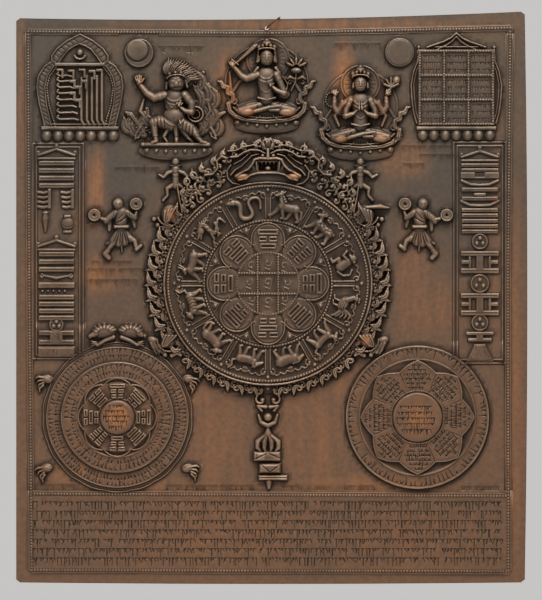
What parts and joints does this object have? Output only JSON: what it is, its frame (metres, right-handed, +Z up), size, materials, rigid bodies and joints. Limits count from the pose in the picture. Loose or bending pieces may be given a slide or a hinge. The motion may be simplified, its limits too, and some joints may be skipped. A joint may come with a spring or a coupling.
{
  "type": "relief plaque",
  "caption": "Hand-embossed copper wall plaque with a calendar wheel held by a beast, seated figures, charts and an inscription panel, with a loose wire hanging ring",
  "frame": {"origin": "the point inside the top of the wire ring where a nail or hook bears", "axes": "+Z up, the relief faces -Y, +X to the right of someone facing the relief"},
  "size_m": [0.402, 0.0169, 0.4502],
  "materials": {
    "patinated_copper": "dark brown patina on copper, rubbed bright on the high points",
    "copper_wire": "dark drawn wire"
  },
  "bodies": {
    "root": {"plaque": "patinated_copper", "hanging_ring": "copper_wire"}
  },
  "joints": []
}
